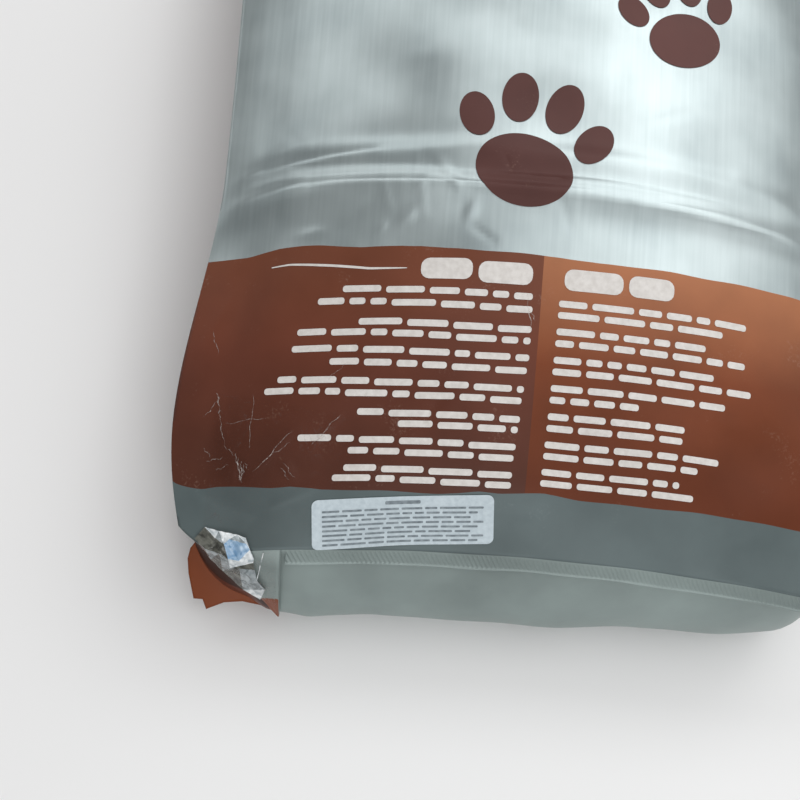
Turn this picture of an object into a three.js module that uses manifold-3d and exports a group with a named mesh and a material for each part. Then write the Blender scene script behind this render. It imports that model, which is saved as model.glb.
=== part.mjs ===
// A filled pet food bag lying on its front panel: back panel up, base end towards -Y, top seal at +Y.
// One sealed film bag with a paper label and a strip of clear repair tape stuck on it. Millimetres.
import * as THREE from 'three';
import { mergeVertices } from 'three/addons/utils/BufferGeometryUtils.js';
import Module from 'manifold-3d';

const wasm = await Module();
wasm.setup();

// Widths of the back panel, from the base to the top seal
const BASE_WIDTH = 234;
const BELLY_WIDTH = 246;
const WAIST_WIDTH = 228;
const HEAD_WIDTH = 236;
// Distances along the bag from the base seam
const SEAM_TO_TOP = 392;
const BELLY_AT = 45;
const WAIST_AT = 140;
const CREST_AT = 200;
const FLOOR_END = 290;
const TOP_SEAL = 13;
// Heights over the floor
const SEAM_HEIGHT = 51;
const CREST_HEIGHT = 87.5;
const CORNER_DROP = 2.5;
const EDGE_RISE = 5;
const HEAD_HEIGHT = 6;
const SEAL_THICKNESS = 1.6;
// Rounded lower edges and gusset folds
const BOTTOM_INSET = 3;
const EDGE_LIFT = 8;
const LIFT_WIDTH = 18;
const SIDE_TUCK = 3;
const HEAD_TUCK = 34;
// Base end
const BASE_BOW = 8;
const BASE_BULGE = 12;
const BULGE_HEIGHT = 18;
const BULGE_TUCK_UNDER = 6;
const CORNER_RADIUS = 18;
const CORNER_RECESS = 10;
const BASE_FADE = 40;
// Folds in the film
const SEAM_PUCKER = 0.6;
const PUCKER_PITCH = 40;
const PUCKER_REACH = 14;
const RIDGE_AT = 129;
const RIDGE_HEIGHT = 1.5;
const RIDGE_WIDTH = 7;
const RIDGE_BOW = 5;
const EDGE_FOLD = 1.4;
const EDGE_FOLD_INSET = 16;
const EDGE_FOLD_WIDTH = 7;
const GATHER_HEIGHT = 2.4;
const GATHER_PITCH = 52;
// Heat-sealed fin along the base seam
const FIN_WIDTH = 6.6;
const FIN_ANGLE = 48;
const FIN_THICKNESS = 0.9;
const FIN_ROOT = 2;
const SINK = 0.45;
const FIN_END_GAP = 1.5;
// Folded ear and torn tab at the damaged corner
const EAR_WIDTH = 36;
const EAR_DROP = 34;
const EAR_STANDOFF = 2.7;
const EAR_INSET = 1;
const EAR_TIP_WIDTH = 2;
const EAR_BOW = 2;
const EAR_ROUND = 12;
const EAR_THICKNESS = 0.9;
const TAB_THICKNESS = 0.9;
const TAB_ROOT = 7;
const TAB_RISE = 4;
// Label, placed from the panel's centre line and the base seam
const LABEL_WIDTH = 62;
const LABEL_HEIGHT = 18;
const LABEL_RADIUS = 2.2;
const LABEL_X = -40.5;
const LABEL_UP = 13;
const LABEL_TURN = 4.6;
const LABEL_THICKNESS = 0.3;
// Clear tape, placed from the panel's left edge and the base seam
const TAPE_WIDTH = 50;
const TAPE_INSET = 13;
const TAPE_LENGTH = 47;
const TAPE_SLANT = 9;
const TAPE_THICKNESS = 0.25;
const TAPE_SEAM_GAP = 1.2;
const TAPE_GAP = 1;
// Stuck pieces stand off the film, and clear each other
const STICK_GAP = 0.4;
const PIECE_GAP = 1.5;

const { smoothstep, lerp, degToRad } = THREE.MathUtils;
const HALF_BASE = BASE_WIDTH / 2;
const HEAD_AT = SEAM_TO_TOP - TOP_SEAL;

const headFraction = (t) => THREE.MathUtils.clamp((t - CREST_AT) / (HEAD_AT - CREST_AT), 0, 1);
const headFall = (t) => smoothstep(headFraction(t) ** 1.4, 0, 1);
const gaussian = (distance, width) => Math.exp(-((distance / width) ** 2));

function halfWidth(t) {
  if (t < BELLY_AT) {
    return lerp(BASE_WIDTH, BELLY_WIDTH, Math.sin((Math.PI / 2) * (t / BELLY_AT))) / 2;
  }
  if (t < WAIST_AT) {
    return lerp(BELLY_WIDTH, WAIST_WIDTH, smoothstep(t, BELLY_AT, WAIST_AT)) / 2;
  }
  return lerp(WAIST_WIDTH, HEAD_WIDTH, smoothstep(t, WAIST_AT, HEAD_AT)) / 2;
}

function crestHeight(t) {
  if (t > CREST_AT) {
    return lerp(CREST_HEIGHT, HEAD_HEIGHT, headFall(t));
  }
  return lerp(SEAM_HEIGHT, CREST_HEIGHT, 1 - (1 - t / CREST_AT) ** 2.5);
}

function edgeHeight(t) {
  const full = SEAM_HEIGHT - CORNER_DROP + EDGE_RISE * smoothstep(t, 0, CREST_AT);
  return lerp(full, HEAD_HEIGHT, headFall(t));
}

// The base corners are rounded in plan: how far the film steps back at a given x
function cornerRecess(x) {
  const past = Math.max(0, Math.abs(x) - (HALF_BASE - CORNER_RADIUS)) / CORNER_RADIUS;
  return CORNER_RECESS * Math.min(past, 1) ** 2;
}

// Foremost line of the bulging base panel
function bulgeLine(x) {
  const across = Math.min(1, Math.abs(x) / HALF_BASE);
  return cornerRecess(x) - BASE_BULGE * (1 - across ** 6);
}

function folds(x, t) {
  const edge = Math.abs(x) - (halfWidth(t) - EDGE_FOLD_INSET);
  const across = x / halfWidth(t);
  const ridge = RIDGE_AT - RIDGE_BOW * across ** 2 - t;
  const head = Math.sin(Math.PI * headFraction(t) ** 1.6);
  const pucker = SEAM_PUCKER * Math.exp(-t / PUCKER_REACH) * Math.cos((2 * Math.PI * x) / PUCKER_PITCH);
  const gather = GATHER_HEIGHT * head * Math.cos((2 * Math.PI * x) / GATHER_PITCH);
  const fade = 1 - across ** 6;
  const stretch = smoothstep(t, 5, BELLY_AT) * (1 - headFall(t));
  return (
    (pucker + gather + RIDGE_HEIGHT * gaussian(ridge, RIDGE_WIDTH)) * fade -
    EDGE_FOLD * gaussian(edge, EDGE_FOLD_WIDTH) * stretch
  );
}

// A point of the back panel: x across, t along the bag from the base seam
function panelPoint(x, t) {
  const across = Math.min(1, Math.abs(x) / halfWidth(t));
  const edge = edgeHeight(t);
  const z = edge + (crestHeight(t) - edge) * (1 - across ** 2.5) + folds(x, t);
  const back = BASE_BOW * (1 - across ** 2) + cornerRecess((across * BASE_WIDTH) / 2);
  return new THREE.Vector3(x, t + back * Math.exp(-t / BASE_FADE), z);
}

// A point of the front panel, flat on the floor with lifted long edges
function floorPoint(across, t) {
  const half = halfWidth(t) - BOTTOM_INSET * (1 - headFall(t));
  const x = across * half;
  const lift = Math.max(0, Math.abs(x) - (half - LIFT_WIDTH)) / LIFT_WIDTH;
  const raised = (HEAD_HEIGHT - SEAL_THICKNESS) * smoothstep(t, FLOOR_END, HEAD_AT);
  const z = raised + EDGE_LIFT * lift ** 2 * (1 - headFall(t));
  const front = bulgeLine(across * HALF_BASE) + BULGE_TUCK_UNDER;
  return new THREE.Vector3(x, t + front * Math.exp(-t / BASE_FADE), z);
}

// A point of a side gusset between the panel edge (v = 0) and the front panel edge (v = 1)
function gussetPoint(side, v, t) {
  const top = panelPoint(side * halfWidth(t), t);
  const low = floorPoint(side, t);
  const tuck = (SIDE_TUCK + HEAD_TUCK * Math.sin(Math.PI * headFraction(t) ** 1.6)) * (1 - Math.abs(2 * v - 1));
  const open = smoothstep(t, 0, BELLY_AT) * (t < HEAD_AT ? 1 : 0);
  const point = top.lerp(low, v);
  point.x -= side * tuck * open;
  return point;
}

const PANEL_STEPS = 32;
const GUSSET_STEPS = 6;

// One closed ring of points around the bag at station t
function ring(t) {
  const points = [];
  for (let i = 0; i <= PANEL_STEPS; i++) {
    points.push(panelPoint((2 * i / PANEL_STEPS - 1) * halfWidth(t), t));
  }
  for (let i = 1; i < GUSSET_STEPS; i++) {
    points.push(gussetPoint(1, i / GUSSET_STEPS, t));
  }
  for (let i = PANEL_STEPS; i >= 0; i--) {
    points.push(floorPoint(2 * i / PANEL_STEPS - 1, t));
  }
  for (let i = GUSSET_STEPS - 1; i > 0; i--) {
    points.push(gussetPoint(-1, i / GUSSET_STEPS, t));
  }
  return points;
}

// Place across the bag, -1 to 1, of a ring's point
function ringAcross(i) {
  if (i <= PANEL_STEPS) {
    return (2 * i) / PANEL_STEPS - 1;
  }
  const past = i - PANEL_STEPS - GUSSET_STEPS;
  return THREE.MathUtils.clamp(1 - (2 * past) / PANEL_STEPS, -1, 1);
}

// Rings that close the base: they draw in to one line along the foremost part of the bulge
function baseRing(outline, k) {
  const swell = Math.sin((Math.PI / 2) * k) ** 1.5;
  const end = HALF_BASE - CORNER_RADIUS;
  return outline.map((point, i) => {
    const x = lerp(point.x, ringAcross(i) * end, k);
    const z = lerp(point.z, BULGE_HEIGHT, k);
    return new THREE.Vector3(x, lerp(point.y, bulgeLine(x), swell), z);
  });
}

// Rings that close the top seal: they draw in to its middle line
function headRing(outline, k) {
  const middle = HEAD_HEIGHT - SEAL_THICKNESS / 2;
  return outline.map((point) => new THREE.Vector3(point.x, point.y, lerp(point.z, middle, k)));
}

function geometryFrom(points, triangles) {
  const geometry = new THREE.BufferGeometry();
  geometry.setAttribute('position', new THREE.Float32BufferAttribute(points.flatMap((p) => p.toArray()), 3));
  geometry.setIndex(triangles);
  return geometry;
}

// Merge shared points and drop the triangles that a closed-up ring leaves without area
function welded(geometry) {
  const merged = mergeVertices(geometry, 1e-3);
  const index = merged.index.array;
  const kept = [];
  for (let i = 0; i < index.length; i += 3) {
    const [a, b, c] = [index[i], index[i + 1], index[i + 2]];
    if (a !== b && b !== c && c !== a) {
      kept.push(a, b, c);
    }
  }
  merged.setIndex(kept);
  return merged;
}

function loft(rings) {
  const count = rings[0].length;
  const triangles = [];
  for (let j = 0; j + 1 < rings.length; j++) {
    for (let i = 0; i < count; i++) {
      const a = j * count + i;
      const b = j * count + ((i + 1) % count);
      triangles.push(a, b, b + count, a, b + count, a + count);
    }
  }
  return welded(geometryFrom(rings.flat(), triangles));
}

// A thin sheet over a grid of points: thickness is laid on along the grid's normal.
// keep(i, j) says which cells are there; the cut edges get side walls.
function sheet(grid, thickness, keep = () => true) {
  const columns = grid.length;
  const rows = grid[0].length;
  const near = (i, j) => grid[THREE.MathUtils.clamp(i, 0, columns - 1)][THREE.MathUtils.clamp(j, 0, rows - 1)];
  const normal = (i, j) => {
    const across = near(i + 1, j).clone().sub(near(i - 1, j));
    const along = near(i, j + 1).clone().sub(near(i, j - 1));
    return across.cross(along).normalize();
  };
  const under = [];
  const over = [];
  for (let i = 0; i < columns; i++) {
    for (let j = 0; j < rows; j++) {
      under.push(grid[i][j]);
      over.push(grid[i][j].clone().addScaledVector(normal(i, j), thickness));
    }
  }
  const there = (i, j) => i >= 0 && j >= 0 && i < columns - 1 && j < rows - 1 && keep(i, j);
  const id = (i, j) => i * rows + j;
  const lift = columns * rows;
  const triangles = [];
  const quad = (a, b, c, d) => triangles.push(a, b, c, a, c, d);
  const wall = (a, b) => quad(a, b, b + lift, a + lift);
  for (let i = 0; i < columns - 1; i++) {
    for (let j = 0; j < rows - 1; j++) {
      if (!there(i, j)) {
        continue;
      }
      const [a, b, c, d] = [id(i, j), id(i + 1, j), id(i + 1, j + 1), id(i, j + 1)];
      quad(a + lift, b + lift, c + lift, d + lift);
      quad(a, d, c, b);
      if (!there(i, j - 1)) wall(a, b);
      if (!there(i + 1, j)) wall(b, c);
      if (!there(i, j + 1)) wall(c, d);
      if (!there(i - 1, j)) wall(d, a);
    }
  }
  return welded(geometryFrom([...under, ...over], triangles));
}

function solid(geometry) {
  return new wasm.Manifold(
    new wasm.Mesh({
      numProp: 3,
      vertProperties: new Float32Array(geometry.attributes.position.array),
      triVerts: new Uint32Array(geometry.index.array),
    }),
  );
}

function fromSolid(body) {
  const { vertProperties, triVerts } = body.getMesh();
  const geometry = new THREE.BufferGeometry();
  geometry.setAttribute('position', new THREE.Float32BufferAttribute(vertProperties, 3));
  geometry.setIndex([...triVerts]);
  return geometry;
}

// Body of the bag: rings close at the base and at the top seal
function bodyStations() {
  const stations = [];
  for (let j = 0; j <= 24; j++) {
    stations.push(CREST_AT * (j / 24) ** 1.35);
  }
  for (let j = 1; j <= 15; j++) {
    stations.push(lerp(CREST_AT, HEAD_AT, j / 15));
  }
  stations.push(SEAM_TO_TOP);
  return stations;
}

function bodyGeometry() {
  const rings = bodyStations().map(ring);
  const base = [1, 0.78, 0.56, 0.36, 0.18].map((k) => baseRing(rings[0], k));
  const head = headRing(rings[rings.length - 1], 1);
  return loft([...base, ...rings, head]);
}

// Thin pieces of the bag leave just inside the seam's edge, and their roots lie further in
const SUNK = new THREE.Vector3(0, SINK, -SINK);
const ROOT = new THREE.Vector3(0, FIN_ROOT, -FIN_ROOT);

// Fin: a flat seal that leaves the seam outwards and down, from the folded ear to the far corner
function finGeometry() {
  const start = -HALF_BASE + EAR_WIDTH + FIN_END_GAP;
  const grid = [];
  for (let i = 0; i <= 28; i++) {
    const x = lerp(start, HALF_BASE - FIN_END_GAP, i / 28);
    const reach = FIN_WIDTH * Math.min(1, 0.3 + (HALF_BASE - x) / CORNER_RADIUS);
    const seam = panelPoint(x, 0).add(SUNK);
    const down = new THREE.Vector3(0, -Math.cos(degToRad(FIN_ANGLE)), -Math.sin(degToRad(FIN_ANGLE)));
    const face = [reach, reach / 2, 0].map((d) => seam.clone().addScaledVector(down, d));
    grid.push([...face, seam.clone().add(ROOT)]);
  }
  return sheet(grid, -FIN_THICKNESS);
}

// Outer face of the folded ear: across from its fold (b = 0) to the fin (b = 1), down to the tip (a = 1)
const EAR_TIP = new THREE.Vector3(
  -HALF_BASE + EAR_WIDTH,
  -BASE_BULGE - EAR_STANDOFF,
  SEAM_HEIGHT - EAR_DROP,
);

function earPoint(a, b) {
  const corner = panelPoint(-HALF_BASE + EAR_INSET, 0);
  const inner = panelPoint(-HALF_BASE + EAR_WIDTH, 0);
  const foldControl = corner.lerp(EAR_TIP, 0.45).add(new THREE.Vector3(-EAR_BOW, -EAR_BOW, 0));
  const sideControl = inner.lerp(EAR_TIP, 0.5).add(new THREE.Vector3(0, -EAR_ROUND / 2, EAR_ROUND));
  const seam = panelPoint(lerp(-HALF_BASE + EAR_INSET, -HALF_BASE + EAR_WIDTH, b), 0);
  const tip = EAR_TIP.clone().setX(EAR_TIP.x - EAR_TIP_WIDTH * (1 - b));
  return new THREE.QuadraticBezierCurve3(seam, foldControl.lerp(sideControl, b), tip).getPoint(a);
}

function earGeometry() {
  const grid = [];
  for (let i = 0; i <= 4; i++) {
    const column = [];
    for (let j = 0; j <= 8; j++) {
      column.push(earPoint(j / 8, i / 4).addScaledVector(SUNK, 1 - j / 8));
    }
    grid.push([...column.reverse(), earPoint(0, i / 4).add(ROOT)]);
  }
  return sheet(grid, -EAR_THICKNESS);
}

// Torn tab of gusset film at the foot of that corner.
// Each row: distance in from the base corner, reach beyond the base, height over the floor.
const TAB_OUTLINE = [
  [4.5, 0.5, 24],
  [0.6, 6.7, 14],
  [1.5, 10.5, 11.5],
  [4.3, 13.1, 10],
  [7, 9.9, 10],
  [9.2, 10.9, 9.5],
  [15, 4.9, 10],
  [20, 1.7, 10.5],
  [26, 0.6, 11],
  [31, 0.5, 11.5],
  [35.2, 2.8, 12.5],
];

function tabGeometry() {
  const grid = TAB_OUTLINE.map(([inset, reach, height]) => {
    const outer = new THREE.Vector3(-HALF_BASE + inset, 0, height);
    outer.y = bulgeLine(outer.x) - reach;
    const inner = new THREE.Vector3(-HALF_BASE + inset * 0.8 + TAB_ROOT, 0, height + TAB_RISE);
    inner.y = bulgeLine(inner.x) + TAB_ROOT;
    return [outer, outer.clone().lerp(inner, 0.5), inner];
  });
  return sheet(grid, -TAB_THICKNESS);
}

// Way out from the seam's edge, between the panel's and the base's normals
const OUT = new THREE.Vector3(0, -1, 1);

// Point that stands off the back panel along its normal
function offPanel(x, t, distance) {
  const step = 0.5;
  const across = panelPoint(x + step, t).sub(panelPoint(x - step, t));
  const along = panelPoint(x, t + step).sub(panelPoint(x, t - step));
  return panelPoint(x, t).addScaledVector(across.cross(along).normalize(), distance);
}

// Point that stands off the outer face of the folded ear
function offEar(a, b, distance) {
  const step = 0.02;
  const across = earPoint(a, b + step).sub(earPoint(a, b - step));
  const along = earPoint(a - step, b).sub(earPoint(Math.min(a + step, 1), b));
  return earPoint(a, b).addScaledVector(across.cross(along).normalize(), distance);
}

// Label: a rounded rectangle that follows the panel
function labelSpot(u, v) {
  const turn = degToRad(LABEL_TURN);
  return {
    x: LABEL_X + u * Math.cos(turn) - v * Math.sin(turn),
    t: LABEL_UP + u * Math.sin(turn) + v * Math.cos(turn),
  };
}

function labelGeometry() {
  const half = LABEL_WIDTH / 2;
  const inner = half - LABEL_RADIUS;
  const stops = [-1, -0.7, 0.7, 1];
  const columns = [];
  for (let i = 0; i <= 3; i++) {
    columns.push(-half + LABEL_RADIUS * (1 - Math.cos((Math.PI / 6) * i)));
  }
  for (let i = 1; i < 10; i++) {
    columns.push(lerp(-inner, inner, i / 10));
  }
  for (let i = 3; i >= 0; i--) {
    columns.push(half - LABEL_RADIUS * (1 - Math.cos((Math.PI / 6) * i)));
  }
  const grid = columns.map((u) => {
    const past = Math.max(0, Math.abs(u) - inner);
    const high = LABEL_HEIGHT / 2 - LABEL_RADIUS + Math.sqrt(LABEL_RADIUS ** 2 - past ** 2);
    return [stops[0], stops[1], -0.25, 0.25, stops[2], stops[3]].map((f) => {
      const { x, t } = labelSpot(u, f * high);
      return offPanel(x, t, STICK_GAP);
    });
  });
  return sheet(grid, LABEL_THICKNESS);
}

const TAPE_EAR_COLUMNS = 6;

// Tape: runs down the panel beside the label, over the seam and on down the folded ear
function tapeGeometry() {
  const left = -halfWidth(TAPE_LENGTH) + TAPE_INSET;
  const right = left + TAPE_WIDTH;
  const beside = labelSpot(-LABEL_WIDTH / 2, LABEL_HEIGHT / 2);
  const notchX = beside.x - PIECE_GAP;
  const notchT = labelSpot(right - LABEL_X, LABEL_HEIGHT / 2).t + PIECE_GAP;
  const earRight = -HALF_BASE + EAR_WIDTH;
  const xs = [];
  for (let i = 0; i < TAPE_EAR_COLUMNS; i++) {
    xs.push(lerp(left, earRight, i / TAPE_EAR_COLUMNS));
  }
  xs.push(
    earRight,
    lerp(earRight, notchX, 0.5),
    notchX,
    lerp(notchX, right, 0.5),
    right,
  );
  const earRows = [0.98, 0.85, 0.7, 0.55, 0.4, 0.28, 0.17, 0.08];
  const panelRows = [TAPE_SEAM_GAP, lerp(TAPE_SEAM_GAP, notchT, 0.35), lerp(TAPE_SEAM_GAP, notchT, 0.7), notchT];
  const rows = earRows.length + 1;
  const grid = xs.map((x, i) => {
    const top = TAPE_LENGTH + TAPE_SLANT * (1 - (x - left) / TAPE_WIDTH);
    const along = [...panelRows, ...[0.2, 0.4, 0.6, 0.8, 1].map((f) => lerp(notchT, top, f))];
    const b = lerp(0.06, 0.94, Math.min(1, i / TAPE_EAR_COLUMNS));
    const ear = earRows.map((a) => offEar(a, b, TAPE_GAP));
    ear.push(earPoint(0, b).addScaledVector(OUT, TAPE_GAP));
    return [...ear, ...along.map((t) => offPanel(x, t, TAPE_GAP))];
  });
  const beforeLabel = TAPE_EAR_COLUMNS + 2;
  const keep = (i, j) => (j < rows ? i < TAPE_EAR_COLUMNS : i < beforeLabel || j >= rows + 3);
  return sheet(grid, TAPE_THICKNESS, keep);
}

function piece(name, geometry, look) {
  const mesh = new THREE.Mesh(geometry, new THREE.MeshStandardMaterial(look));
  mesh.name = name;
  mesh.geometry.computeVertexNormals();
  return mesh;
}

const film = solid(bodyGeometry()).add(solid(finGeometry())).add(solid(earGeometry())).add(solid(tabGeometry()));

const petFoodBag = new THREE.Group();
petFoodBag.add(
  piece('bag', fromSolid(film), { color: '#7b6a63', roughness: 0.4, metalness: 0.4 }),
  piece('label', labelGeometry(), { color: '#e4e8ea', roughness: 0.6, metalness: 0 }),
  piece('repair_tape', tapeGeometry(), {
    color: '#b9c2c4', roughness: 0.15, metalness: 0, transparent: true, opacity: 0.35,
  }),
);

// Origin under the middle of the bag, on the floor
const box = new THREE.Box3().setFromObject(petFoodBag);
const middle = box.getCenter(new THREE.Vector3());
petFoodBag.position.set(-middle.x, -middle.y, -box.min.z);

export default petFoodBag;
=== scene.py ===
import math

import bmesh
import bpy
import numpy as np
from mathutils import Matrix, Vector


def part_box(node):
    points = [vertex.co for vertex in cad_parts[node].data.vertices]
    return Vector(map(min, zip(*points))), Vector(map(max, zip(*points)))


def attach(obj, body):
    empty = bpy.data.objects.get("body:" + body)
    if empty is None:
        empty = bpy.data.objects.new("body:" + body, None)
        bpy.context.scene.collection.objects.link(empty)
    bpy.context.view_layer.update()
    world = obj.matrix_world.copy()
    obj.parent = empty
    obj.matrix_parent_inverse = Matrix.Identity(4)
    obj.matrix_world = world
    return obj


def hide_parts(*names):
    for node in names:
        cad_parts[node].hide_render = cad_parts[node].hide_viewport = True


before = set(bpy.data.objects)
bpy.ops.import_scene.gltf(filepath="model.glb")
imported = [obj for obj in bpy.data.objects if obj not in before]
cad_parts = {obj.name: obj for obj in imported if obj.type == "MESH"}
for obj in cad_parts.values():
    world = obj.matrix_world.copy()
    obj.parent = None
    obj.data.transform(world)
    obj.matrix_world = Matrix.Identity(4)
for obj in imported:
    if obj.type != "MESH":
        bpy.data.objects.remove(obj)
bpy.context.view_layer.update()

# The bag: one pouch of metallised film, printed, filled with dry food and lying on its front panel.
# Back panel, gussets, front panel and base are one skin, drawn tight by the food, creased and dented.
# Sizes are in mm: x across the bag from its centre line, t along it from the base seam, z over the floor.
BASE_WIDTH = 234
BELLY_WIDTH = 246
WAIST_WIDTH = 228
HEAD_WIDTH = 236
BELLY_AT = 45
WAIST_AT = 140
CREST_AT = 200
FLOOR_END = 290
SEAM_TO_TOP = 392
TOP_SEAL = 13
SEAM_HEIGHT = 51
CORNER_DROP = 2.5
EDGE_RISE = 5
CREST_HEIGHT = 87.5
HEAD_HEIGHT = 6
SEAL_THICKNESS = 1.6
BOTTOM_INSET = 3
EDGE_LIFT = 8
LIFT_WIDTH = 18
SIDE_TUCK = 3
HEAD_TUCK = 34
BASE_BOW = 8
BASE_BULGE = 12
BULGE_TUCK_UNDER = 6
BASE_FADE = 40
CORNER_RADIUS = 18
CORNER_RECESS = 10
HALF_BASE = BASE_WIDTH / 2
HEAD_AT = SEAM_TO_TOP - TOP_SEAL
SEAM_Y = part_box("bag")[1][1] * 1000 - SEAM_TO_TOP


def smooth(q):
    q = np.clip(q, 0, 1)
    return q * q * (3 - 2 * q)


# Smooth rise from 0 at one place to 1 at another
def rise(at, start, full):
    return smooth((at - start) / (full - start))


def half_width(t):
    belly = BASE_WIDTH + (BELLY_WIDTH - BASE_WIDTH) * np.sin(math.pi / 2 * np.clip(t / BELLY_AT, 0, 1))
    waist = BELLY_WIDTH + (WAIST_WIDTH - BELLY_WIDTH) * rise(t, BELLY_AT, WAIST_AT)
    head = WAIST_WIDTH + (HEAD_WIDTH - WAIST_WIDTH) * rise(t, WAIST_AT, HEAD_AT)
    return np.where(t < BELLY_AT, belly, np.where(t < WAIST_AT, waist, head)) / 2


# Share of the way from the crest to the top seal, and how far the bag has come down by then
def head_part(t):
    return np.clip((t - CREST_AT) / (HEAD_AT - CREST_AT), 0, 1)


def head_fall(t):
    return smooth(head_part(t) ** 1.4)


# The base corners are rounded in plan, and the base bulges between them
def corner_recess(x):
    return CORNER_RECESS * np.clip((np.abs(x) - HALF_BASE + CORNER_RADIUS) / CORNER_RADIUS, 0, 1) ** 2


def bulge_line(x):
    return corner_recess(x) - BASE_BULGE * (1 - np.minimum(1, np.abs(x) / HALF_BASE) ** 6)


# A crease is a narrow ridge or dent between two points, highest in its middle
def crease(x, t, x0, t0, x1, t1, width, height):
    dx, dt = x1 - x0, t1 - t0
    along = np.clip(((x - x0) * dx + (t - t0) * dt) / (dx * dx + dt * dt), 0, 1)
    away = np.hypot(x - x0 - along * dx, t - t0 - along * dt)
    taper = np.sin(math.pi * np.clip(0.08 + 0.84 * along, 0, 1)) ** 0.6
    return height * taper * np.clip(1 - away / width, 0, 1) ** 1.5


# Creases seen on the film: x and t of both ends, width, height
CREASES = [
    (-108.1, 56, -106.3, 49.5, 3, 0.9), (-106.3, 49.5, -103.5, 37, 3, 0.8), (-99.7, 34, -95.8, 31, 2.5, 0.8),
    (-97.8, 31.5, -97.2, 24, 2.6, -1.1), (-80.5, 42.5, -92.8, 27.5, 1.8, 0.5),
    (-64.8, 48, -73.7, 37, 1.8, 0.5), (-82.8, 31, -78.6, 25.5, 2.2, 0.7),
    (-95, 55, -95.1, 34, 3, 0.3), (-112, 124.5, -100, 128, 4, 1.1),
    (-100, 128, -86, 130, 4, 1.1), (-86, 130, -44, 129.6, 3.5, 0.8), (-44, 129.6, 29, 128.5, 3, 0.8),
    (29, 128.5, 95, 126, 3, 0.7), (-90, 134, -40, 134, 2.2, 0.5), (-40, 134, 60, 132.5, 2.2, 0.5),
    (-110, 135, -101, 137.5, 3.5, 1.0), (-101, 137.5, -60, 141, 3.5, 0.6), (-112, 20, -88, 12, 3, -0.7),
    (-90, 14, -72, 22, 2.5, 0.5), (-118, 70, -104, 95, 5, 0.6), (-117, 92, -107, 116, 5, -0.6),
    (-84, 111.5, -76, 112.5, 4, 0.5), (-50, 116, -45, 119.5, 3.5, 0.5), (-57, 112.5, -55, 116, 2.5, 0.4),
]
# Many faint creases and slow swells besides, as on any film that was handled
SMALL_CREASES = 150
SLOW_SWELLS = 16
shake = np.random.default_rng(11)
for _ in range(SMALL_CREASES):
    middle_x, middle_t = shake.uniform(-112, 112), shake.uniform(4, 372)
    turn, long = shake.uniform(0, math.pi), shake.uniform(5, 22)
    end_x, end_t = math.cos(turn) * long / 2, math.sin(turn) * long / 2
    ends = (middle_x - end_x, middle_t - end_t, middle_x + end_x, middle_t + end_t)
    CREASES.append((*ends, shake.uniform(1.6, 4.5), shake.normal(0, 0.14)))
SWELLS = [
    (shake.uniform(28, 75), shake.uniform(0, math.pi), shake.uniform(0, 6.28), shake.uniform(0.05, 0.12))
    for _ in range(SLOW_SWELLS)
]
# Ridges across the panel: place along the bag, bow, width, height
RIDGES = [(129, 5, 6.5, 2.3), (142, 7, 5, 1.3)]
SEAM_PUCKER = 0.6
PUCKER_PITCH = 40
PUCKER_REACH = 14
GATHER_HEIGHT = 2.4
GATHER_PITCH = 52
EDGE_FOLD = 1.4
EDGE_FOLD_INSET = 16
EDGE_FOLD_WIDTH = 7
EDGE_FOLD_WANES = 0.8
STEP_UNDER_RIDGE = 1.3


def folds(x, t):
    across = x / half_width(t)
    from_edge = np.abs(x) - (half_width(t) - EDGE_FOLD_INSET)
    head = np.sin(math.pi * head_part(t) ** 1.6)
    fade = 1 - np.clip(np.abs(across), 0, 1) ** 6
    soft = SEAM_PUCKER * np.exp(-t / PUCKER_REACH) * np.cos(2 * math.pi * x / PUCKER_PITCH)
    soft = soft + GATHER_HEIGHT * head * np.cos(2 * math.pi * x / GATHER_PITCH)
    for pitch, turn, phase, tall in SWELLS:
        soft = soft + tall * np.sin(2 * math.pi * (x * math.cos(turn) + t * math.sin(turn)) / pitch + phase)
    for mark in CREASES:
        soft = soft + crease(x, t, *mark)
    ridges = sum(tall * np.exp(-(((at - bow * across**2 - t) / wide) ** 2)) for at, bow, wide, tall in RIDGES)
    ridges = ridges * (1 - np.clip(np.abs(across), 0, 1) ** 18)
    groove = EDGE_FOLD * np.exp(-((from_edge / EDGE_FOLD_WIDTH) ** 2)) * rise(t, 5, 45)
    groove = groove * (1 - EDGE_FOLD_WANES * rise(t, 90, 115)) * (1 - head_fall(t))
    step = STEP_UNDER_RIDGE * rise(t, 103, 121) * rise(t, 148, 128) * rise(across, -0.45, -0.75)
    return ridges + (step + soft) * fade - groove


def panel(x, t):
    x, t = np.broadcast_arrays(np.asarray(x, float), np.asarray(t, float))
    across = np.minimum(1, np.abs(x) / half_width(t))
    edge = SEAM_HEIGHT - CORNER_DROP + EDGE_RISE * smooth(t / CREST_AT)
    edge = edge + (HEAD_HEIGHT - edge) * head_fall(t)
    crest = SEAM_HEIGHT + (CREST_HEIGHT - SEAM_HEIGHT) * (1 - np.clip(1 - t / CREST_AT, 0, 1) ** 2.5)
    crest = crest + (HEAD_HEIGHT - crest) * head_fall(t)
    z = edge + (crest - edge) * (1 - across**2.5) + folds(x, t)
    pushed = BASE_BOW * (1 - across**2) + corner_recess(across * HALF_BASE)
    return np.stack([x, t + pushed * np.exp(-t / BASE_FADE), z], -1)


# A point that stands off the panel along its normal, for what is printed or stuck on it
def off_panel(x, t, distance):
    run_x = panel(x + 0.4, t) - panel(x - 0.4, t)
    run_t = panel(x, t + 0.4) - panel(x, t - 0.4)
    normal = np.cross(run_x, run_t)
    normal /= np.linalg.norm(normal, axis=-1, keepdims=True)
    return panel(x, t) + normal * np.expand_dims(np.broadcast_to(distance, normal.shape[:-1]), -1)


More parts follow.
